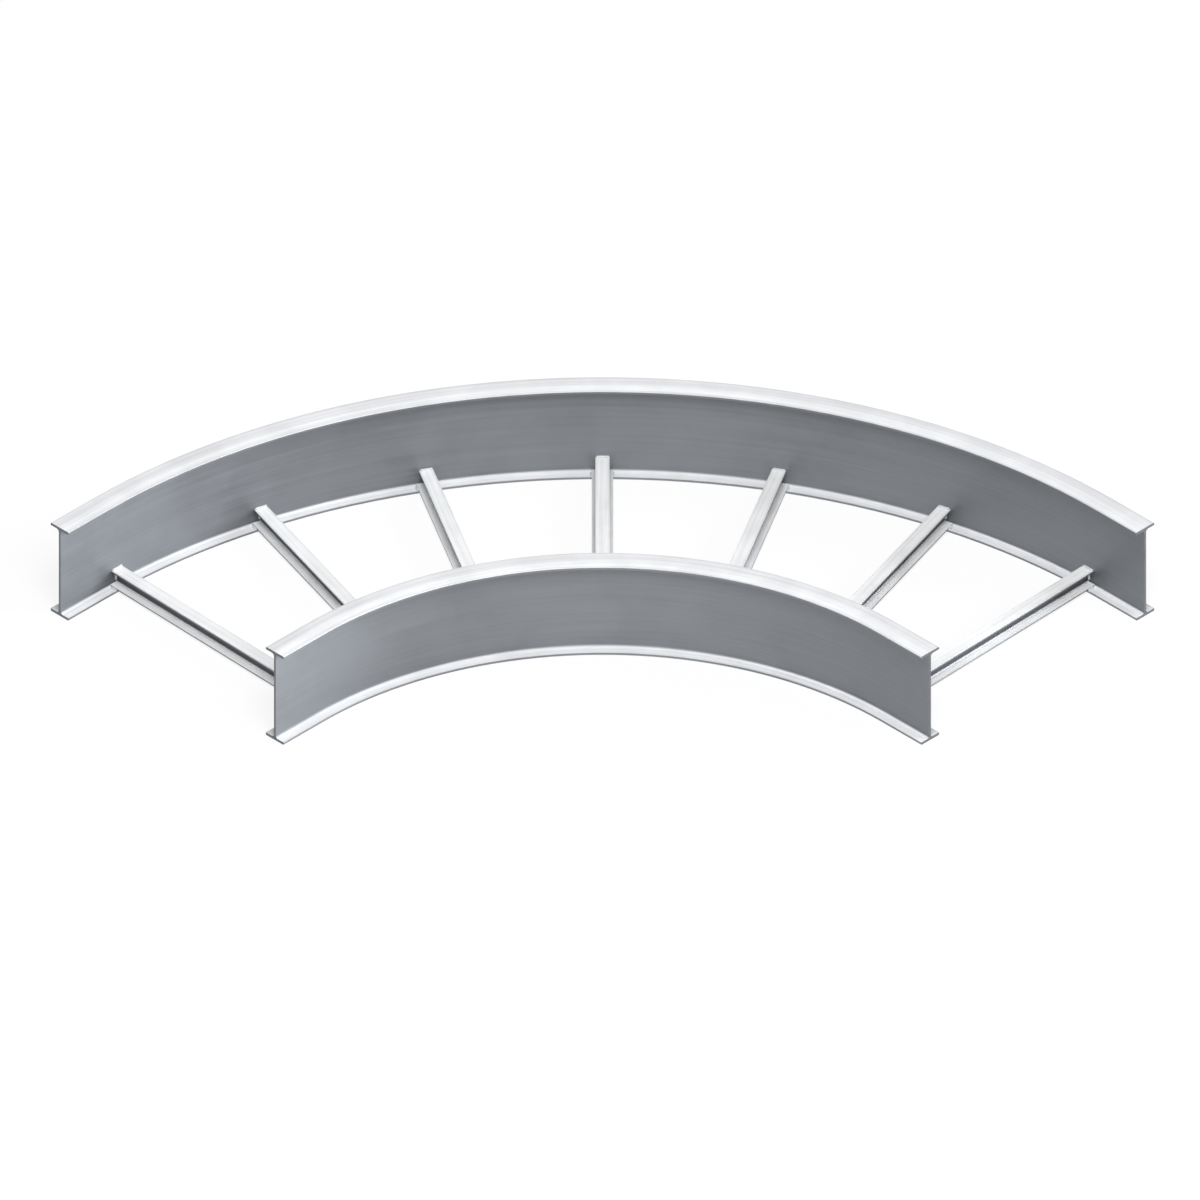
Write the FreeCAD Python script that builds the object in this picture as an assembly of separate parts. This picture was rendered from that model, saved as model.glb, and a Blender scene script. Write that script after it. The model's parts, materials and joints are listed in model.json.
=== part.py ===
import FreeCAD, Part
import math
import os

from FreeCAD import Vector

# Horizontal 90 degree elbow of a ladder cable tray, in extruded aluminium.
# Two I-beam side rails bend round one upright axis and end in short straight legs.
# I-shaped rungs point at that axis. They stand on the rails' bottom flanges and butt against the webs.
# Lengths are in millimetres and angles in degrees. The legs end facing -X and -Y.

# Plan of the elbow
bend_angle = 90.0
bend_radius = 610.0  # from the bend axis to the middle of the inner rail's web
tray_width = 457.0  # between the middles of the two webs
leg_length = 86.0  # straight end of each rail, past the bend

# Section of a side rail
rail_height = 162.0
rail_flange_width = 38.1
rail_flange_thickness = 4.5
rail_web_thickness = 3.6
rail_root_fillet = 5.0  # between web and flange
rail_edge_chamfer = 1.0  # on the outer edges of both flanges

# Section of a rung
rung_height = 25.0
rung_top_width = 21.8
rung_base_width = 32.0
rung_flange_thickness = 3.2
rung_web_thickness = 3.2
rung_root_fillet = 2.5
rung_edge_chamfer = 0.6  # on the outer edges of both flanges

# Layout and ends of the rungs
rung_count = 7
end_rung_setback = 26.0  # from the start of the bend to the first rung, along the middle of the tray
cope_clearance = 0.5  # by which a coped foot stands clear of the rail's root fillet

outer_radius = bend_radius + tray_width
middle_radius = bend_radius + tray_width / 2
bend_axis = Vector(0, 0, 1)
bend_centre = Vector(0, 0, 0)


def trimmed_face(corners):
    """Flat face in the XZ plane with square corners (x, z, cut, size): a fillet, a chamfer or sharp."""
    cuts = []
    for index, (x, z, cut, size) in enumerate(corners):
        corner = Vector(x, 0, z)
        last_x, last_z, _, _ = corners[index - 1]
        next_x, next_z, _, _ = corners[(index + 1) % len(corners)]
        to_last = (Vector(last_x, 0, last_z) - corner).normalize() * size
        to_next = (Vector(next_x, 0, next_z) - corner).normalize() * size
        arc_middle = corner + (to_last + to_next) * (1 - math.sqrt(0.5))
        cuts.append((corner + to_last, arc_middle, corner + to_next, cut))
    edges = []
    for index, (start, arc_middle, end, cut) in enumerate(cuts):
        next_start = cuts[(index + 1) % len(cuts)][0]
        if cut == "fillet":
            edges.append(Part.Arc(start, arc_middle, end).toShape())
        elif cut == "chamfer":
            edges.append(Part.LineSegment(start, end).toShape())
        edges.append(Part.LineSegment(end, next_start).toShape())
    return Part.Face(Part.Wire(edges))


def i_section(height, top_width, base_width, flange, web, root_fillet, edge_chamfer):
    """Face of an I-section in the XZ plane, standing on z = 0 with its web on x = 0."""
    right_side = [
        (base_width / 2, 0, "chamfer", edge_chamfer),
        (base_width / 2, flange, "sharp", 0),
        (web / 2, flange, "fillet", root_fillet),
        (web / 2, height - flange, "fillet", root_fillet),
        (top_width / 2, height - flange, "sharp", 0),
        (top_width / 2, height, "chamfer", edge_chamfer),
    ]
    left_side = [(-x, z, cut, size) for x, z, cut, size in reversed(right_side)]
    return trimmed_face(right_side + left_side)


def side_rail(radius):
    """Rail whose web follows an arc of this radius, with a straight leg at each end."""
    section = i_section(
        rail_height,
        rail_flange_width,
        rail_flange_width,
        rail_flange_thickness,
        rail_web_thickness,
        rail_root_fillet,
        rail_edge_chamfer,
    )
    section.translate(Vector(radius, 0, 0))
    end_section = section.copy()
    end_section.rotate(bend_centre, bend_axis, bend_angle)
    turn = math.radians(bend_angle)
    onward = Vector(-math.sin(turn), math.cos(turn), 0)
    bend = section.revolve(bend_centre, bend_axis, bend_angle)
    first_leg = section.extrude(Vector(0, -leg_length, 0))
    last_leg = end_section.extrude(onward * leg_length)
    return bend.fuse([first_leg, last_leg]).removeSplitter().Solids[0]


def rung_bay():
    """Space between the two webs, as a half ring, with its foot corners bevelled past the root fillets."""
    inner_face = bend_radius + rail_web_thickness / 2
    outer_face = outer_radius - rail_web_thickness / 2
    seat = rail_flange_thickness
    cope = rail_root_fillet + cope_clearance
    outline = [
        Vector(inner_face + cope, 0, seat),
        Vector(outer_face - cope, 0, seat),
        Vector(outer_face, 0, seat + cope),
        Vector(outer_face, 0, rail_height),
        Vector(inner_face, 0, rail_height),
        Vector(inner_face, 0, seat + cope),
    ]
    bay = Part.Face(Part.makePolygon(outline + outline[:1]))
    bay.rotate(bend_centre, bend_axis, -90)
    return bay.revolve(bend_centre, bend_axis, 180)


def straight_rung():
    """Rung along +X, cut to the curve of both webs and coped at its feet."""
    section = i_section(
        rung_height,
        rung_top_width,
        rung_base_width,
        rung_flange_thickness,
        rung_web_thickness,
        rung_root_fillet,
        rung_edge_chamfer,
    )
    section.rotate(bend_centre, bend_axis, 90)
    section.translate(Vector(bend_radius, 0, rail_flange_thickness))
    bar = section.extrude(Vector(tray_width, 0, 0))
    return bar.common(rung_bay()).Solids[0]


def rung_angles():
    """Angles of the rungs round the bend axis, evenly spaced between the two end rungs."""
    setback = math.degrees(end_rung_setback / middle_radius)
    pitch = (bend_angle - 2 * setback) / (rung_count - 1)
    return [setback + pitch * index for index in range(rung_count)]


def all_pieces():
    """Every separate piece of the elbow by name, with the bend axis on x = y = 0."""
    pieces = {
        "side_rail_outer": side_rail(outer_radius),
        "side_rail_inner": side_rail(bend_radius),
    }
    rung = straight_rung()
    for number, angle in enumerate(rung_angles(), start=1):
        turned = rung.copy()
        turned.rotate(bend_centre, bend_axis, angle)
        pieces[f"rung_{number}"] = turned
    return pieces


def footprint_centre(shape):
    """Middle of the shape's plan, at the height that it stands on."""
    box = shape.optimalBoundingBox(False, False)
    return Vector(box.Center.x, box.Center.y, box.ZMin)


os.makedirs("parts", exist_ok=True)
pieces = all_pieces()
origin = footprint_centre(pieces["side_rail_outer"])
for name, shape in pieces.items():
    shape.translate(-origin)
    shape.exportStep(os.path.join("parts", name + ".step"))
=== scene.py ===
import json
import math
from typing import Callable, NamedTuple

import bpy
from bpy.props import FloatProperty, FloatVectorProperty, PointerProperty
from mathutils import Matrix, Vector


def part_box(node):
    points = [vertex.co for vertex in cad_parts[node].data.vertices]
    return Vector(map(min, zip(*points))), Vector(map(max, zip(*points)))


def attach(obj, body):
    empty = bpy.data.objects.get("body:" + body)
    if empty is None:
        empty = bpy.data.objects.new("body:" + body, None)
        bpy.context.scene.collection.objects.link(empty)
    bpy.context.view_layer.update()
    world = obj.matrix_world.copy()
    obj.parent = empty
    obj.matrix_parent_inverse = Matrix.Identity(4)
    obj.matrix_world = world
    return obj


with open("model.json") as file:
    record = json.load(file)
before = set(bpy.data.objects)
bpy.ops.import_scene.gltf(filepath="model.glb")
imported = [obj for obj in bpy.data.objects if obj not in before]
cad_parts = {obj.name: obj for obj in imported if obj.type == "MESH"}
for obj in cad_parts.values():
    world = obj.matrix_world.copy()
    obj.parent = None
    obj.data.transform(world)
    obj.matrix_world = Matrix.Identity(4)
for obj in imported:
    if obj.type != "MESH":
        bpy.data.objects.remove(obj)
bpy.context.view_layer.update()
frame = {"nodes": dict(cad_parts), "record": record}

bl_info = {
    "name": "Cable Tray Elbow",
    "version": (1, 0, 0),
    "blender": (4, 5, 0),
    "location": "3D View > Sidebar > Tray Elbow",
    "description": "Gives a ladder cable tray elbow its aluminium finish, its welds and a plain studio",
    "category": "Object",
}

MM = 0.001
QUARTER_TURN = math.radians(90)

MOUNTS = {mount["name"]: Vector(mount["pos_m"]) for mount in frame["record"]["mounts"]}
RUNG_NAMES = sorted(name for name in frame["nodes"] if name.startswith("rung_"))


def radius_and_centre(end, middle):
    """Radius of a rail's web and the place of the bend axis, along X and Y alike.

    One point is on the straight leg beyond the arc's end and the other is halfway round the arc.
    """
    radius = (end - middle) / (1 - math.cos(QUARTER_TURN / 2))
    return radius, end - radius


OUTER_RADIUS, BEND_CENTRE = radius_and_centre(MOUNTS["outer_rail_end_y"].x, MOUNTS["outer_rail_underside"].x)
INNER_RADIUS, _ = radius_and_centre(MOUNTS["inner_rail_end_y"].x, MOUNTS["inner_rail_underside"].x)
RAIL_RADII = {"side_rail_outer": OUTER_RADIUS, "side_rail_inner": INNER_RADIUS}
BEND_AXIS = Vector((BEND_CENTRE, BEND_CENTRE, 0))
LEG_END = MOUNTS["outer_rail_end_x"].x
RAIL_LOW, RAIL_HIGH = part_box("side_rail_outer")
RUNG_LOW, RUNG_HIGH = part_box("rung_1")

# Sizes of the solids that the frame doesn't state, as the part has them
RAIL_WEB = 3.6 * MM
RAIL_FLANGE = 4.5 * MM
RAIL_FLANGE_WIDTH = 38.1 * MM
RAIL_FILLET = 5.0 * MM
RUNG_WEB = 3.2 * MM
RUNG_FLANGE = 3.2 * MM
RUNG_FILLET = 2.5 * MM
RUNG_TOP_WIDTH = 21.8 * MM
RUNG_BASE_WIDTH = 32.0 * MM
RUNG_SETBACK = 26.0 * MM  # from the start of the bend to the first rung, along the middle of the tray
COPE_CLEARANCE = 0.5 * MM
COPE = RAIL_FILLET + COPE_CLEARANCE  # bevel of a rung's foot past the rail's root fillet

MIDDLE_RADIUS = (OUTER_RADIUS + INNER_RADIUS) / 2
FIRST_RUNG = RUNG_SETBACK / MIDDLE_RADIUS
RUNG_PITCH = (QUARTER_TURN - 2 * FIRST_RUNG) / (len(RUNG_NAMES) - 1)

# Die lines run long and fade slowly, so their pattern moves on only this much along the length
RAIL_LINE_DRIFT = 8 * MM  # for each radian round the bend
RUNG_LINE_DRIFT = 0.02  # for each metre along a rung
LINE_DEPTH = 0.1 * MM

# Distances from a flange's edge between which its darkening along the edge grows to the full
EDGE_DARKENING_START = 5 * MM
EDGE_DARKENING_FULL = 1 * MM

# Upright share of a face's normal: up to the first it is an upright edge, from the second on it lies flat
EDGE_TILT = 0.3
FLAT_TILT = 0.8

# A Map Range node takes a value, the range it comes from, and the range it goes to if that isn't 0 to 1
SOFT_ENDS = {"interpolation_type": "SMOOTHSTEP"}
NOISE_RANGE = (0.3, 0.7)  # holds nearly all values of a noise texture
WAVE_BANDS = 20 / math.tau  # bands to the unit in a wave texture with a scale of 1
SAWN_DEPTH = 0.2 * MM  # how far in from a leg's end the metal still counts as sawn

# A weld ripple is a thick coin that leans back on the one before it
RIPPLE_THICKNESS = 0.6  # as a share of the bead's radius
RIPPLE_LEAN = math.radians(25)
BEAD_INSET = 0.25  # from the corner to the bead's middle, as a share of its radius
BEAD_SHORTFALL = 2 * MM  # by which a bead along a flange is shorter than its seam
WELD_VOXEL = 0.45 * MM  # cell of the mesh that melts the ripples together
CRYSTAL_SIZE = 0.4 * MM
CRYSTAL_DEPTH = 0.1 * MM
SOOT_SIZE = 6 * MM

FLOOR_GAP = 0.5 * MM  # keeps the floor clear of the rails' undersides
FLOOR_WHITE = 0.8  # share of the floor's look that is plain white, so that its shadows stay faint

# Sines of the elevations between which the world's light changes, and below which it is white
SKY_LOW = 0.35
SKY_HIGH = 0.7
HORIZON = 0.01

# Ways from the tray to the lamps. The camera stands at (-1, -1) and the picture's right is (1, -1)
TO_KEY = Vector((-0.95, -1.0, 0.0))  # in plan, without the key's elevation
TO_FILL = Vector((1.0, -1.0, 0.3))

# The photograph is a square isometric view, with the foot of the bend axis this far from its middle
PICTURE_WIDTH = 1200
AXIS_RIGHT_PIXELS = 2.5
AXIS_DOWN_PIXELS = 282.4
CAMERA_ELEVATION = math.asin(1 / math.sqrt(3))
CAMERA_DISTANCE = 6.0
CAMERA_REACH = 100.0


def linear(hex_colour):
    """Linear RGB of an sRGB hex colour."""
    channels = [int(hex_colour[i:i + 2], 16) / 255 for i in (1, 3, 5)]
    return [c / 12.92 if c <= 0.04045 else ((c + 0.055) / 1.055) ** 2.4 for c in channels]


class TrayFinish(bpy.types.PropertyGroup):
    """Colours, gloss and patterns of the aluminium."""

    # Painted light: the rails' flat faces are pale as if lit from above
    rail_flat_lit_colour: FloatVectorProperty(
        name="Rail flanges",
        description="Flanges of the side rails, rubbed pale by stacking and handling",
        subtype="COLOR",
        default=linear("#E2E3E5"),
    )
    # Painted shade: the rails' webs are grey as if in shade
    rail_web_shade_colour: FloatVectorProperty(
        name="Rail webs",
        description="Recessed webs of the side rails, which keep the grey of the mill",
        subtype="COLOR",
        default=linear("#919498"),
    )
    # Painted light: the rungs' flat faces are pale as if lit from above
    rung_flat_lit_colour: FloatVectorProperty(
        name="Rung flanges",
        description="Flanges of the rungs",
        subtype="COLOR",
        default=linear("#E8E9EA"),
    )
    # Painted shade: the rungs' webs are darker still, as shade in the recess between their flanges
    rung_web_shade_colour: FloatVectorProperty(
        name="Rung webs",
        description="Recessed webs of the rungs",
        subtype="COLOR",
        default=linear("#64656A"),
    )
    # Painted shade: the upright edges of all flanges are grey as if in shade
    edge_shade_colour: FloatVectorProperty(
        name="Flange edges",
        description="Upright edges of all flanges, which nothing rubs",
        subtype="COLOR",
        default=linear("#919498"),
    )
    cut_colour: FloatVectorProperty(
        name="Saw cut",
        description="Sawn ends of the side rails",
        subtype="COLOR",
        default=linear("#7C7E82"),
    )
    weld_colour: FloatVectorProperty(
        name="Weld",
        description="Bright, frosted metal of the weld beads",
        subtype="COLOR",
        default=linear("#DCDDDF"),
    )
    die_line_width: FloatProperty(
        name="Die line width",
        description="Width of the extrusion lines as drawn",
        default=4.0 * MM,
        unit="LENGTH",
    )
    smudge_size: FloatProperty(
        name="Smudge size",
        description="Width of the soft smudges that handling leaves",
        default=70.0 * MM,
        unit="LENGTH",
    )
    saw_pitch: FloatProperty(
        name="Saw pitch",
        description="Distance from one saw mark to the next",
        default=1.5 * MM,
        unit="LENGTH",
    )
    roughness: FloatProperty(
        name="Roughness",
        description="Satin of the mill finish",
        default=0.58,
        min=0.0,
        max=1.0,
    )
    flange_roughness: FloatProperty(
        name="Flange roughness",
        description="Matt of the flanges' rubbed flat faces",
        default=0.82,
        min=0.0,
        max=1.0,
    )
    cut_roughness: FloatProperty(
        name="Saw cut roughness",
        description="Matt of the sawn ends",
        default=0.6,
        min=0.0,
        max=1.0,
    )
    flange_metal: FloatProperty(
        name="Flange metal",
        description="Share of the flanges' look that mirrors as metal. The rest scatters as rubbed oxide",
        default=0.15,
        min=0.0,
        max=1.0,
    )
    rail_anisotropy: FloatProperty(
        name="Rail anisotropy",
        description="How far the rails' die lines spread a highlight across the length",
        default=0.5,
        min=0.0,
        max=1.0,
    )
    rung_anisotropy: FloatProperty(
        name="Rung anisotropy",
        description="How far the rungs' die lines spread a highlight across the length",
        default=0.1,
        min=0.0,
        max=1.0,
    )
    # The flat faces are darker within a few millimetres of both flange edges
    edge_tone: FloatProperty(
        name="Edge tone",
        description="How dark the grime along the flange edges is, as a share of the flange's own tone",
        default=0.9,
        min=0.0,
        max=1.0,
    )
    # Painted shade: the rails' flanges are darker on the side outside their webs
    outer_shade_tone: FloatProperty(
        name="Outer tone",
        description="How dark the rails' flanges are outside their webs, as a share of their tone inside",
        default=0.86,
        min=0.0,
        max=1.0,
    )


class TrayWelds(bpy.types.PropertyGroup):
    """Sizes of the weld beads at the rung ends."""

    bead_radius: FloatProperty(
        name="Bead radius",
        description="Radius of the round bead that lies in the corner",
        default=2.4 * MM,
        unit="LENGTH",
    )
    ripple_pitch: FloatProperty(
        name="Ripple pitch",
        description="Distance from one weld ripple to the next",
        default=1.5 * MM,
        unit="LENGTH",
    )


class TrayStudio(bpy.types.PropertyGroup):
    """The view, the floor and the light."""

    pixels_per_metre: FloatProperty(
        name="Pixels per metre",
        description="Scale of the picture, for an image 1200 pixels wide",
        default=665.8,
    )
    ground_size: FloatProperty(
        name="Ground size",
        description="Side of the square floor",
        default=40.0,
        unit="LENGTH",
    )
    ground_colour: FloatVectorProperty(
        name="Ground",
        description="Colour of the floor where light falls on it",
        subtype="COLOR",
        default=linear("#F8F8F8"),
    )
    horizon_light: FloatProperty(
        name="Horizon light",
        description="Strength of the world's light at the horizon",
        default=0.45,
    )
    top_light: FloatProperty(
        name="Top light",
        description="Strength of the world's light overhead",
        default=0.4,
    )
    lamp_distance: FloatProperty(
        name="Lamp distance",
        description="Way from either lamp to the tray, long enough to light all of it alike",
        default=10.0,
        unit="LENGTH",
    )
    key_power: FloatProperty(
        name="Key power",
        description="Power of the soft lamp that stands high in front",
        default=830.0,
        unit="POWER",
    )
    key_size: FloatProperty(
        name="Key size",
        description="Side of the square key lamp",
        default=5.0,
        unit="LENGTH",
    )
    key_elevation: FloatProperty(
        name="Key elevation",
        description="How high the key lamp stands, as an angle above the floor",
        default=math.radians(57),
        subtype="ANGLE",
    )
    fill_power: FloatProperty(
        name="Fill power",
        description="Power of the soft lamp that stands low on the right",
        default=1100.0,
        unit="POWER",
    )
    fill_size: FloatProperty(
        name="Fill size",
        description="Side of the square fill lamp",
        default=5.5,
        unit="LENGTH",
    )
    fill_colour: FloatVectorProperty(
        name="Fill colour",
        description="Slightly cool light of the fill lamp, as linear RGB",
        subtype="COLOR",
        default=(0.94, 0.97, 1.0),
    )


def add_node(tree, kind, inputs=(), **fields):
    """Adds a node, sets its fields, and gives its inputs fixed values or links.

    The inputs come in the node's own order, or as a dictionary by number or name. A node among them stands
    for its first output. A Mix node mixes inputs 2 and 3 as numbers, or 6 and 7 as colours.
    """
    node = tree.nodes.new(kind)
    for field, value in fields.items():
        setattr(node, field, value)
    pairs = inputs.items() if isinstance(inputs, dict) else enumerate(inputs)
    for key, value in pairs:
        source = value.outputs[0] if isinstance(value, bpy.types.Node) else value
        if isinstance(source, bpy.types.NodeSocket):
            tree.links.new(source, node.inputs[key])
        else:
            node.inputs[key].default_value = source
    return node


def new_material(name):
    """Empty node material and its tree."""
    material = bpy.data.materials.new(name)
    material.use_nodes = True
    material.node_tree.nodes.clear()
    return material, material.node_tree


class Extrusion(NamedTuple):
    """What sets one extruded piece's mill finish apart: its I-section, the way it runs and its look."""

    section_point: Callable  # adds the nodes that give a point's place in the section
    grain: Callable  # adds the nodes that give the direction of the length
    web_line: float  # place of the web's middle plane across the section
    low: float  # height of the section's foot
    high: float  # height of its top
    flange: float  # thickness of its flanges
    fillet: float  # between web and flange
    half_width: float  # from the web's middle plane to the edge of the top flange
    # Grey of the upright faces, which is painted shade, and pale of the flat faces, which is painted light
    web_shade_colour: tuple
    flat_lit_colour: tuple
    anisotropy: float
    outer_shade_tone: float = 1.0
    sawn: bool = False


def rail_section_point(tree, point):
    """Point in a rail's own section: distance across, height, and slowly the way along.

    The distance across stays the same round the arc and down the straight legs.
    """
    in_bend = add_node(tree, "ShaderNodeVectorMath", (point, (0, 0, 0)), operation="MAXIMUM")
    plan = add_node(tree, "ShaderNodeVectorMath", (in_bend, (1, 1, 0)), operation="MULTIPLY")
    across = add_node(tree, "ShaderNodeVectorMath", (plan,), operation="LENGTH").outputs["Value"]
    axes = add_node(tree, "ShaderNodeSeparateXYZ", (point,)).outputs
    angle = add_node(tree, "ShaderNodeMath", (axes["Y"], axes["X"]), operation="ARCTAN2")
    along = add_node(tree, "ShaderNodeMath", (angle, RAIL_LINE_DRIFT), operation="MULTIPLY")
    return add_node(tree, "ShaderNodeCombineXYZ", (across, axes["Z"], along))


def rung_section_point(tree, point):
    """Point in the nearest rung's own section: distance from its web, height, and slowly the way along."""
    axes = add_node(tree, "ShaderNodeSeparateXYZ", (point,)).outputs
    angle = add_node(tree, "ShaderNodeMath", (axes["Y"], axes["X"]), operation="ARCTAN2")
    first_bay_start = FIRST_RUNG - RUNG_PITCH / 2
    from_start = add_node(tree, "ShaderNodeMath", (angle, first_bay_start), operation="SUBTRACT")
    in_bay = add_node(tree, "ShaderNodeMath", (from_start, RUNG_PITCH), operation="FLOORED_MODULO")
    turn = add_node(tree, "ShaderNodeMath", (in_bay, RUNG_PITCH / 2), operation="SUBTRACT")
    sine = add_node(tree, "ShaderNodeMath", (turn,), operation="SINE")
    plan = add_node(tree, "ShaderNodeVectorMath", (point, (1, 1, 0)), operation="MULTIPLY")
    radius = add_node(tree, "ShaderNodeVectorMath", (plan,), operation="LENGTH").outputs["Value"]
    across = add_node(tree, "ShaderNodeMath", (sine, radius), operation="MULTIPLY")
    along = add_node(tree, "ShaderNodeMath", (radius, RUNG_LINE_DRIFT), operation="MULTIPLY")
    return add_node(tree, "ShaderNodeCombineXYZ", (across, axes["Z"], along))


def rail_grain(tree, point):
    """Direction of a rail's length: round the bend axis on the arc, and straight on in the legs."""
    in_bend = add_node(tree, "ShaderNodeVectorMath", (point, (0, 0, 0)), operation="MAXIMUM")
    return add_node(tree, "ShaderNodeVectorMath", ((0, 0, 1), in_bend), operation="CROSS_PRODUCT")


def rung_grain(tree, point):
    """Direction of a rung's length: away from the bend axis."""
    return add_node(tree, "ShaderNodeVectorMath", (point, (1, 1, 0)), operation="MULTIPLY")


def flange_masks(tree, height, extrusion):
    """Mask of the flanges, and mask of their flat faces alone."""
    middle = (extrusion.high + extrusion.low) / 2
    web_end = extrusion.high - middle - extrusion.flange
    from_middle = add_node(tree, "ShaderNodeMath", (height, middle), operation="SUBTRACT")
    off_middle = add_node(tree, "ShaderNodeMath", (from_middle,), operation="ABSOLUTE")
    on_flange = add_node(
        tree, "ShaderNodeMapRange", (off_middle, web_end - extrusion.fillet, web_end), **SOFT_ENDS
    )
    # Faces that lie flat get the painted light and upright ones the painted shade, by the tilt of their
    # normal
    normal = add_node(tree, "ShaderNodeNewGeometry").outputs["True Normal"]
    upward = add_node(tree, "ShaderNodeSeparateXYZ", (normal,)).outputs["Z"]
    tilt = add_node(tree, "ShaderNodeMath", (upward,), operation="ABSOLUTE")
    level = add_node(tree, "ShaderNodeMapRange", (tilt, EDGE_TILT, FLAT_TILT), **SOFT_ENDS)
    lies_flat = add_node(tree, "ShaderNodeMath", (on_flange, level), operation="MULTIPLY")
    return on_flange, lies_flat


def flat_light_colour(tree, across, extrusion, finish):
    """Pale colour of a flange's flat faces, which is painted light, darker towards both edges, and with
    painted shade on the side outside the web.
    """
    half_width = extrusion.half_width
    from_web = add_node(tree, "ShaderNodeMath", (across, extrusion.web_line), operation="SUBTRACT")
    off_web = add_node(tree, "ShaderNodeMath", (from_web,), operation="ABSOLUTE")
    # Darker within a few millimetres of both edges of the flange
    darkening = add_node(
        tree,
        "ShaderNodeMapRange",
        (off_web, half_width - EDGE_DARKENING_START, half_width - EDGE_DARKENING_FULL, 1.0, finish.edge_tone),
        **SOFT_ENDS,
    )
    # Painted shade on the side of the flange outside the web
    outer_shade = add_node(
        tree,
        "ShaderNodeMapRange",
        (from_web, -half_width / 2, half_width / 2, 1.0, extrusion.outer_shade_tone),
        **SOFT_ENDS,
    )
    tone = add_node(tree, "ShaderNodeMath", (darkening, outer_shade), operation="MULTIPLY")
    return add_node(
        tree, "ShaderNodeVectorMath", {0: extrusion.flat_lit_colour, "Scale": tone}, operation="SCALE"
    )


def uneven_metal(tree, metal, satin, lines, smudges):
    """Colour and roughness of the metal, a little uneven from the die lines and the smudges."""
    line_tone = add_node(tree, "ShaderNodeMapRange", (lines, *NOISE_RANGE, 0.92, 1.07), **SOFT_ENDS)
    smudge_tone = add_node(tree, "ShaderNodeMapRange", (smudges, 0.35, 0.65, 0.95, 1.03), **SOFT_ENDS)
    tone = add_node(tree, "ShaderNodeMath", (line_tone, smudge_tone), operation="MULTIPLY")
    base = add_node(tree, "ShaderNodeVectorMath", {0: metal, "Scale": tone}, operation="SCALE")
    line_matt = add_node(tree, "ShaderNodeMapRange", (lines, *NOISE_RANGE, -0.05, 0.05), **SOFT_ENDS)
    smudge_matt = add_node(tree, "ShaderNodeMapRange", (smudges, 0.4, 0.7, 0.0, 0.06), **SOFT_ENDS)
    uneven = add_node(tree, "ShaderNodeMath", (line_matt, smudge_matt), operation="ADD")
    return base, add_node(tree, "ShaderNodeMath", (satin, uneven), operation="ADD")


def saw_cut(tree, point, base, roughness, finish):
    """Colour and roughness with the leg ends darker, evenly matt and crossed by level saw marks."""
    sawn_from = LEG_END - BEND_CENTRE + SAWN_DEPTH
    axes = add_node(tree, "ShaderNodeSeparateXYZ", (point,)).outputs
    nearest = add_node(tree, "ShaderNodeMath", (axes["X"], axes["Y"]), operation="MINIMUM")
    at_end = add_node(tree, "ShaderNodeMath", (nearest, sawn_from), operation="LESS_THAN")
    marks = add_node(
        tree,
        "ShaderNodeTexWave",
        {"Vector": point, "Scale": 1 / WAVE_BANDS / finish.saw_pitch, "Distortion": 1.5, "Detail": 2.0},
        bands_direction="Z",
    ).outputs["Fac"]
    tone = add_node(tree, "ShaderNodeMapRange", (marks, 0.0, 1.0, 0.8, 1.15), **SOFT_ENDS)
    cut = add_node(tree, "ShaderNodeVectorMath", {0: finish.cut_colour, "Scale": tone}, operation="SCALE")
    colour = add_node(
        tree, "ShaderNodeMix", {"Factor": at_end, 6: base, 7: cut}, data_type="RGBA"
    ).outputs[2]
    matt = add_node(tree, "ShaderNodeMix", {"Factor": at_end, 2: roughness, 3: finish.cut_roughness})
    return colour, matt


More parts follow.
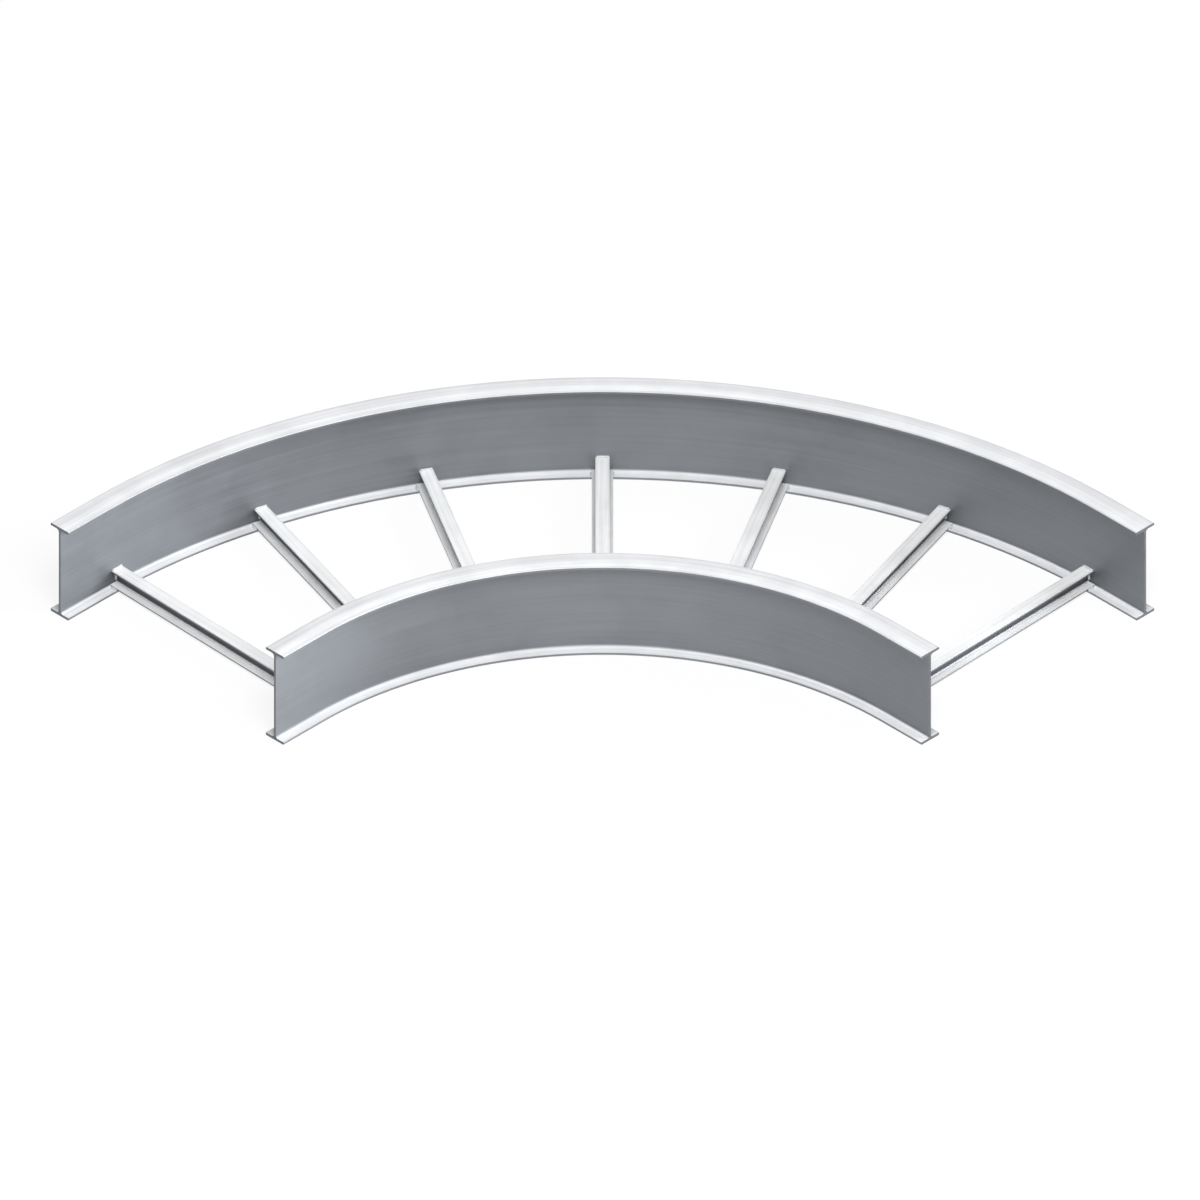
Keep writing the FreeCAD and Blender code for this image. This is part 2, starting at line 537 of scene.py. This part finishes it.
def mill_finish_aluminium(name, extrusion, finish):
    """Extruded aluminium as it leaves the mill: satin grey metal with faint lines along its length.

    The web and the thin upright edges are painted grey as shade, the rungs' web darker still as shade
    between their flanges, and the flanges' flat faces are painted pale as light from above. The flat faces
    are also matt, so they scatter more light and mirror less. The lines come from the die, so they follow
    the section and fade in and out along the length. Real ones are some tenths of a millimetre wide, too
    fine for the picture, so they are drawn coarser. Together they spread each highlight across the length,
    which is the anisotropy. Wide, soft smudges from handling shift the tone and the gloss a little.
    """
    material, tree = new_material(name)
    place = add_node(tree, "ShaderNodeTexCoord").outputs["Object"]
    point = add_node(tree, "ShaderNodeVectorMath", (place, BEND_AXIS), operation="SUBTRACT")
    section = extrusion.section_point(tree, point)
    axes = add_node(tree, "ShaderNodeSeparateXYZ", (section,)).outputs
    on_flange, lies_flat = flange_masks(tree, axes["Y"], extrusion)
    # Pale colour of the flat faces, which is painted light
    flat_light = flat_light_colour(tree, axes["X"], extrusion, finish)
    # Upright faces get painted shade: grey on the rails, and on the rungs a darker web between the flanges
    upright_shade = add_node(
        tree,
        "ShaderNodeMix",
        {"Factor": on_flange, 6: (*extrusion.web_shade_colour, 1), 7: (*finish.edge_shade_colour, 1)},
        data_type="RGBA",
    ).outputs[2]
    metal = add_node(
        tree, "ShaderNodeMix", {"Factor": lies_flat, 6: upright_shade, 7: flat_light}, data_type="RGBA"
    ).outputs[2]
    satin = add_node(
        tree,
        "ShaderNodeMapRange",
        (lies_flat, 0.0, 1.0, finish.roughness, finish.flange_roughness),
        **SOFT_ENDS,
    )
    metallic = add_node(
        tree, "ShaderNodeMapRange", (lies_flat, 0.0, 1.0, 1.0, finish.flange_metal), **SOFT_ENDS
    )
    lines = add_node(
        tree,
        "ShaderNodeTexNoise",
        {"Vector": section, "Scale": 1 / finish.die_line_width, "Detail": 4.0, "Roughness": 0.6},
    )
    smudges = add_node(
        tree,
        "ShaderNodeTexNoise",
        {"Vector": point, "Scale": 1 / finish.smudge_size, "Detail": 4.0, "Roughness": 0.55},
    )
    base, roughness = uneven_metal(tree, metal, satin, lines, smudges)
    if extrusion.sawn:
        base, roughness = saw_cut(tree, point, base, roughness, finish)
    relief = add_node(tree, "ShaderNodeBump", {"Strength": 0.15, "Distance": LINE_DEPTH, "Height": lines})
    shader = add_node(
        tree,
        "ShaderNodeBsdfPrincipled",
        {
            "Base Color": base,
            "Metallic": metallic,
            "Roughness": roughness,
            "Anisotropic": extrusion.anisotropy,
            "Anisotropic Rotation": 0.25,
            "Normal": relief,
            "Tangent": extrusion.grain(tree, point),
        },
    )
    add_node(tree, "ShaderNodeOutputMaterial", {"Surface": shader})
    return material


def as_welded_aluminium(finish):
    """Aluminium weld metal as it froze: bright, frosted by fine crystals, with faint patches of soot."""
    material, tree = new_material("as_welded_aluminium")
    place = add_node(tree, "ShaderNodeTexCoord").outputs["Object"]
    crystals = add_node(
        tree, "ShaderNodeTexNoise", {"Vector": place, "Scale": 1 / CRYSTAL_SIZE, "Detail": 2.0}
    )
    soot = add_node(tree, "ShaderNodeTexNoise", {"Vector": place, "Scale": 1 / SOOT_SIZE, "Detail": 2.0})
    crystal_tone = add_node(tree, "ShaderNodeMapRange", (crystals, *NOISE_RANGE, 0.94, 1.04), **SOFT_ENDS)
    soot_tone = add_node(tree, "ShaderNodeMapRange", (soot, 0.35, 0.7, 1.0, 0.82), **SOFT_ENDS)
    tone = add_node(tree, "ShaderNodeMath", (crystal_tone, soot_tone), operation="MULTIPLY")
    base = add_node(
        tree, "ShaderNodeVectorMath", {0: finish.weld_colour, "Scale": tone}, operation="SCALE"
    )
    frost = add_node(tree, "ShaderNodeMapRange", (crystals, *NOISE_RANGE, 0.48, 0.62), **SOFT_ENDS)
    relief = add_node(
        tree, "ShaderNodeBump", {"Strength": 0.2, "Distance": CRYSTAL_DEPTH, "Height": crystals}
    )
    shader = add_node(
        tree,
        "ShaderNodeBsdfPrincipled",
        {"Base Color": base, "Metallic": 0.4, "Roughness": frost, "Normal": relief},
    )
    add_node(tree, "ShaderNodeOutputMaterial", {"Surface": shader})
    return material


def paint(node, material):
    """Gives a solid of the frame this material."""
    node.data.materials.clear()
    node.data.materials.append(material)


class TRAY_OT_side_rails(bpy.types.Operator):
    """Give both side rails their mill finish and sawn ends"""

    bl_idname = "tray.side_rails"
    bl_label = "Side Rails"

    def execute(self, context):
        finish = context.scene.tray_finish
        for name, radius in RAIL_RADII.items():
            rail = Extrusion(
                section_point=rail_section_point,
                grain=rail_grain,
                web_line=radius,
                low=RAIL_LOW.z,
                high=RAIL_HIGH.z,
                flange=RAIL_FLANGE,
                fillet=RAIL_FILLET,
                half_width=RAIL_FLANGE_WIDTH / 2,
                web_shade_colour=finish.rail_web_shade_colour,
                flat_lit_colour=finish.rail_flat_lit_colour,
                anisotropy=finish.rail_anisotropy,
                outer_shade_tone=finish.outer_shade_tone,
                sawn=True,
            )
            material = mill_finish_aluminium(f"mill_finish_aluminium_{name}", rail, finish)
            paint(frame["nodes"][name], material)
        return {"FINISHED"}


class TRAY_OT_rungs(bpy.types.Operator):
    """Give the rungs their mill finish"""

    bl_idname = "tray.rungs"
    bl_label = "Rungs"

    def execute(self, context):
        finish = context.scene.tray_finish
        rung = Extrusion(
            section_point=rung_section_point,
            grain=rung_grain,
            web_line=0.0,
            low=RUNG_LOW.z,
            high=RUNG_HIGH.z,
            flange=RUNG_FLANGE,
            fillet=RUNG_FILLET,
            half_width=RUNG_TOP_WIDTH / 2,
            web_shade_colour=finish.rung_web_shade_colour,
            flat_lit_colour=finish.rung_flat_lit_colour,
            anisotropy=finish.rung_anisotropy,
        )
        material = mill_finish_aluminium("mill_finish_aluminium_rung", rung, finish)
        for name in RUNG_NAMES:
            paint(frame["nodes"][name], material)
        return {"FINISHED"}


def select_only(*objects):
    """Selects these objects and makes the first one active."""
    bpy.ops.object.select_all(action="DESELECT")
    for obj in objects:
        obj.select_set(True)
    bpy.context.view_layer.objects.active = objects[0]


def lay_bead(length, radius, pitch):
    """One straight weld bead along X about the origin, built of overlapping ripples."""
    count = max(3, round((length - 2 * radius * RIPPLE_THICKNESS) / pitch) + 1)
    bpy.ops.mesh.primitive_uv_sphere_add(segments=16, ring_count=10, radius=radius)
    bead = bpy.context.object
    bpy.ops.object.mode_set(mode="EDIT")
    bpy.ops.mesh.select_all(action="SELECT")
    bpy.ops.transform.resize(value=(RIPPLE_THICKNESS, 1, 1))
    bpy.ops.transform.rotate(value=RIPPLE_LEAN, orient_axis="Y", center_override=(0, 0, 0))
    bpy.ops.transform.translate(value=(-pitch * (count - 1) / 2, 0, 0))
    bpy.ops.object.mode_set(mode="OBJECT")
    row = bead.modifiers.new("row", "ARRAY")
    row.count = count
    row.use_relative_offset = False
    row.use_constant_offset = True
    row.constant_offset_displace = (pitch, 0, 0)
    bpy.ops.object.modifier_apply(modifier=row.name)
    return bead


def melt_together(beads):
    """Joins crossing beads into one closed mesh with softened ripples."""
    select_only(*beads)
    bpy.ops.object.transform_apply(location=True, rotation=True, scale=True)
    bpy.ops.object.join()
    weld = bpy.context.object
    flow = weld.modifiers.new("flow", "REMESH")
    flow.mode = "VOXEL"
    flow.voxel_size = WELD_VOXEL
    bpy.ops.object.modifier_apply(modifier=flow.name)
    soften = weld.modifiers.new("soften", "SMOOTH")
    soften.factor = 0.5
    soften.iterations = 2
    bpy.ops.object.modifier_apply(modifier=soften.name)
    bpy.ops.object.shade_smooth()
    return weld


def weld_end(web_face, foot, flange_edge, inward, welds):
    """Beads that join one rung end to its rail, for a rung along X from the bend axis at the origin.

    web_face is the radius of the rail's web face, foot and flange_edge are the ends of the rung's seat on
    the rail's bottom flange, and inward is the way from the web along the rung, 1 or -1.
    """
    inset = welds.bead_radius * BEAD_INSET
    beside_web = web_face + inward * inset
    web_low, web_high = RUNG_LOW.z + COPE, RUNG_HIGH.z - RUNG_FLANGE
    over_top = (beside_web, 0, RUNG_HIGH.z + inset)
    seams = [(over_top, (0, 0, QUARTER_TURN), RUNG_TOP_WIDTH - BEAD_SHORTFALL)]
    for side in (-1, 1):
        upright = (beside_web, side * (RUNG_WEB / 2 + inset), (web_low + web_high) / 2)
        seams.append((upright, (0, QUARTER_TURN, 0), web_high - web_low))
        seat = ((foot + flange_edge) / 2, side * (RUNG_BASE_WIDTH / 2 + inset), RUNG_LOW.z + inset)
        seams.append((seat, (0, 0, 0), abs(flange_edge - foot) - BEAD_SHORTFALL))
    beads = []
    for place, turn, length in seams:
        bead = lay_bead(length, welds.bead_radius, welds.ripple_pitch)
        bead.location = place
        bead.rotation_euler = turn
        beads.append(bead)
    return melt_together(beads)


class TRAY_OT_welds(bpy.types.Operator):
    """Lay the weld beads at both ends of every rung"""

    bl_idname = "tray.welds"
    bl_label = "Welds"

    def execute(self, context):
        material = as_welded_aluminium(context.scene.tray_finish)
        bpy.ops.object.select_all(action="DESELECT")
        inner_face, outer_face = INNER_RADIUS + RAIL_WEB / 2, OUTER_RADIUS - RAIL_WEB / 2
        ends = {
            "inner": (inner_face, inner_face + COPE, INNER_RADIUS + RAIL_FLANGE_WIDTH / 2, 1),
            "outer": (outer_face, outer_face - COPE, OUTER_RADIUS - RAIL_FLANGE_WIDTH / 2, -1),
        }
        for end, (web_face, foot, flange_edge, inward) in ends.items():
            pattern = weld_end(web_face, foot, flange_edge, inward, context.scene.tray_welds)
            pattern.data.materials.append(material)
            for index, rung in enumerate(RUNG_NAMES):
                select_only(pattern)
                bpy.ops.object.duplicate()
                weld = context.object
                weld.name = f"weld_{rung}_{end}"
                weld.location = BEND_AXIS
                weld.rotation_euler = (0, 0, FIRST_RUNG + RUNG_PITCH * index)
                bpy.ops.object.transform_apply(location=True, rotation=True, scale=True)
                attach(weld, "root")
            bpy.data.objects.remove(pattern, do_unlink=True)
        return {"FINISHED"}


def studio_white(lit_colour, white_share):
    """Pale ground that shows white to the eye and in reflections, and still keeps the object's shadow."""
    material, tree = new_material("studio_white")
    path = add_node(tree, "ShaderNodeLightPath").outputs
    seen = add_node(
        tree, "ShaderNodeMath", (path["Is Camera Ray"], path["Is Glossy Ray"]), operation="MAXIMUM"
    )
    share = add_node(tree, "ShaderNodeMath", (seen, white_share), operation="MULTIPLY")
    ground = add_node(tree, "ShaderNodeBsdfDiffuse", {"Color": (*lit_colour, 1)})
    white = add_node(tree, "ShaderNodeEmission", {"Color": (1, 1, 1, 1), "Strength": 1.0})
    mixed = add_node(tree, "ShaderNodeMixShader", (share, ground, white))
    add_node(tree, "ShaderNodeOutputMaterial", {"Surface": mixed})
    return material


def add_area_lamp(name, place, size, power, colour):
    """Soft square lamp at a place, facing the middle of the tray's foot."""
    data = bpy.data.lights.new(name, "AREA")
    data.shape = "SQUARE"
    data.size = size
    data.energy = power
    data.color = colour
    lamp = bpy.data.objects.new(name, data)
    lamp.location = place
    lamp.rotation_euler = (-place).to_track_quat("-Z", "Y").to_euler()
    bpy.context.scene.collection.objects.link(lamp)


class TRAY_OT_studio(bpy.types.Operator):
    """Make the floor, the light and the camera"""

    bl_idname = "tray.studio"
    bl_label = "Studio"

    def execute(self, context):
        studio = context.scene.tray_studio
        self.add_floor(studio)
        self.add_world(studio)
        self.add_lamps(studio)
        self.add_camera(studio)
        context.scene.view_settings.view_transform = "Standard"
        return {"FINISHED"}

    def add_floor(self, studio):
        """White floor, just below the rails."""
        bpy.ops.mesh.primitive_plane_add(size=studio.ground_size, location=(0, 0, RAIL_LOW.z - FLOOR_GAP))
        bpy.ops.object.transform_apply(location=True, rotation=True, scale=True)
        floor = bpy.context.object
        floor.name = "studio_floor"
        floor.data.materials.append(studio_white(studio.ground_colour, FLOOR_WHITE))

    def add_world(self, studio):
        """Even pale light from all round, a little weaker overhead, as in a white tent."""
        world = bpy.data.worlds.new("studio_world")
        world.use_nodes = True
        tree = world.node_tree
        tree.nodes.clear()
        direction = add_node(tree, "ShaderNodeTexCoord").outputs["Generated"]
        height = add_node(tree, "ShaderNodeSeparateXYZ", (direction,)).outputs["Z"]
        sky = add_node(
            tree,
            "ShaderNodeMapRange",
            (height, SKY_LOW, SKY_HIGH, studio.horizon_light, studio.top_light),
            **SOFT_ENDS,
        )
        # Only a low view sees below the horizon, past the floor's edge, and there it is white
        below = add_node(tree, "ShaderNodeMath", (height, HORIZON), operation="LESS_THAN")
        strength = add_node(tree, "ShaderNodeMix", {"Factor": below, 2: sky, 3: 1.0})
        light = add_node(tree, "ShaderNodeBackground", {"Color": (1, 1, 1, 1), "Strength": strength})
        add_node(tree, "ShaderNodeOutputWorld", {"Surface": light})
        bpy.context.scene.world = world

    def add_lamps(self, studio):
        """Large soft key high in front, and a slightly cool fill low on the right of the picture."""
        key = TO_KEY.normalized() * math.cos(studio.key_elevation)
        key.z = math.sin(studio.key_elevation)
        key_place = key * studio.lamp_distance
        add_area_lamp("lamp_key", key_place, studio.key_size, studio.key_power, (1, 1, 1))
        fill_place = TO_FILL.normalized() * studio.lamp_distance
        add_area_lamp("lamp_fill", fill_place, studio.fill_size, studio.fill_power, studio.fill_colour)

    def add_camera(self, studio):
        """Parallel camera that looks down at the tray from the inside of the bend."""
        toward = Vector((math.cos(CAMERA_ELEVATION), 0, -math.sin(CAMERA_ELEVATION)))
        toward.rotate(Matrix.Rotation(QUARTER_TURN / 2, 3, "Z"))
        turn = toward.to_track_quat("-Z", "Y")
        right, up = turn @ Vector((1, 0, 0)), turn @ Vector((0, 1, 0))
        pixel = 1 / studio.pixels_per_metre
        target = BEND_AXIS - right * AXIS_RIGHT_PIXELS * pixel + up * AXIS_DOWN_PIXELS * pixel
        data = bpy.data.cameras.new("camera")
        data.type = "ORTHO"
        data.ortho_scale = PICTURE_WIDTH * pixel
        data.clip_end = CAMERA_REACH
        camera = bpy.data.objects.new("camera", data)
        camera.location = target - toward * CAMERA_DISTANCE
        camera.rotation_euler = turn.to_euler()
        bpy.context.scene.collection.objects.link(camera)
        bpy.context.scene.camera = camera


class TRAY_PT_panel(bpy.types.Panel):
    """Lists the elbow's settings and pieces"""

    bl_idname = "TRAY_PT_panel"
    bl_label = "Tray Elbow"
    bl_space_type = "VIEW_3D"
    bl_region_type = "UI"
    bl_category = "Tray Elbow"

    def draw(self, context):
        for name, group in GROUPS.items():
            for key in group.__annotations__:
                self.layout.prop(getattr(context.scene, name), key)
        for operator in OPERATORS:
            self.layout.operator(operator.bl_idname)


GROUPS = {"tray_finish": TrayFinish, "tray_welds": TrayWelds, "tray_studio": TrayStudio}
OPERATORS = (TRAY_OT_side_rails, TRAY_OT_rungs, TRAY_OT_welds, TRAY_OT_studio)


def register():
    for name, group in GROUPS.items():
        bpy.utils.register_class(group)
        setattr(bpy.types.Scene, name, PointerProperty(type=group))
    for cls in (*OPERATORS, TRAY_PT_panel):
        bpy.utils.register_class(cls)


def unregister():
    for cls in (*OPERATORS, TRAY_PT_panel):
        bpy.utils.unregister_class(cls)
    for name, group in GROUPS.items():
        delattr(bpy.types.Scene, name)
        bpy.utils.unregister_class(group)


def main():
    register()
    bpy.ops.tray.side_rails()
    bpy.ops.tray.rungs()
    bpy.ops.tray.welds()
    bpy.ops.tray.studio()


if __name__ == "__main__":
    main()
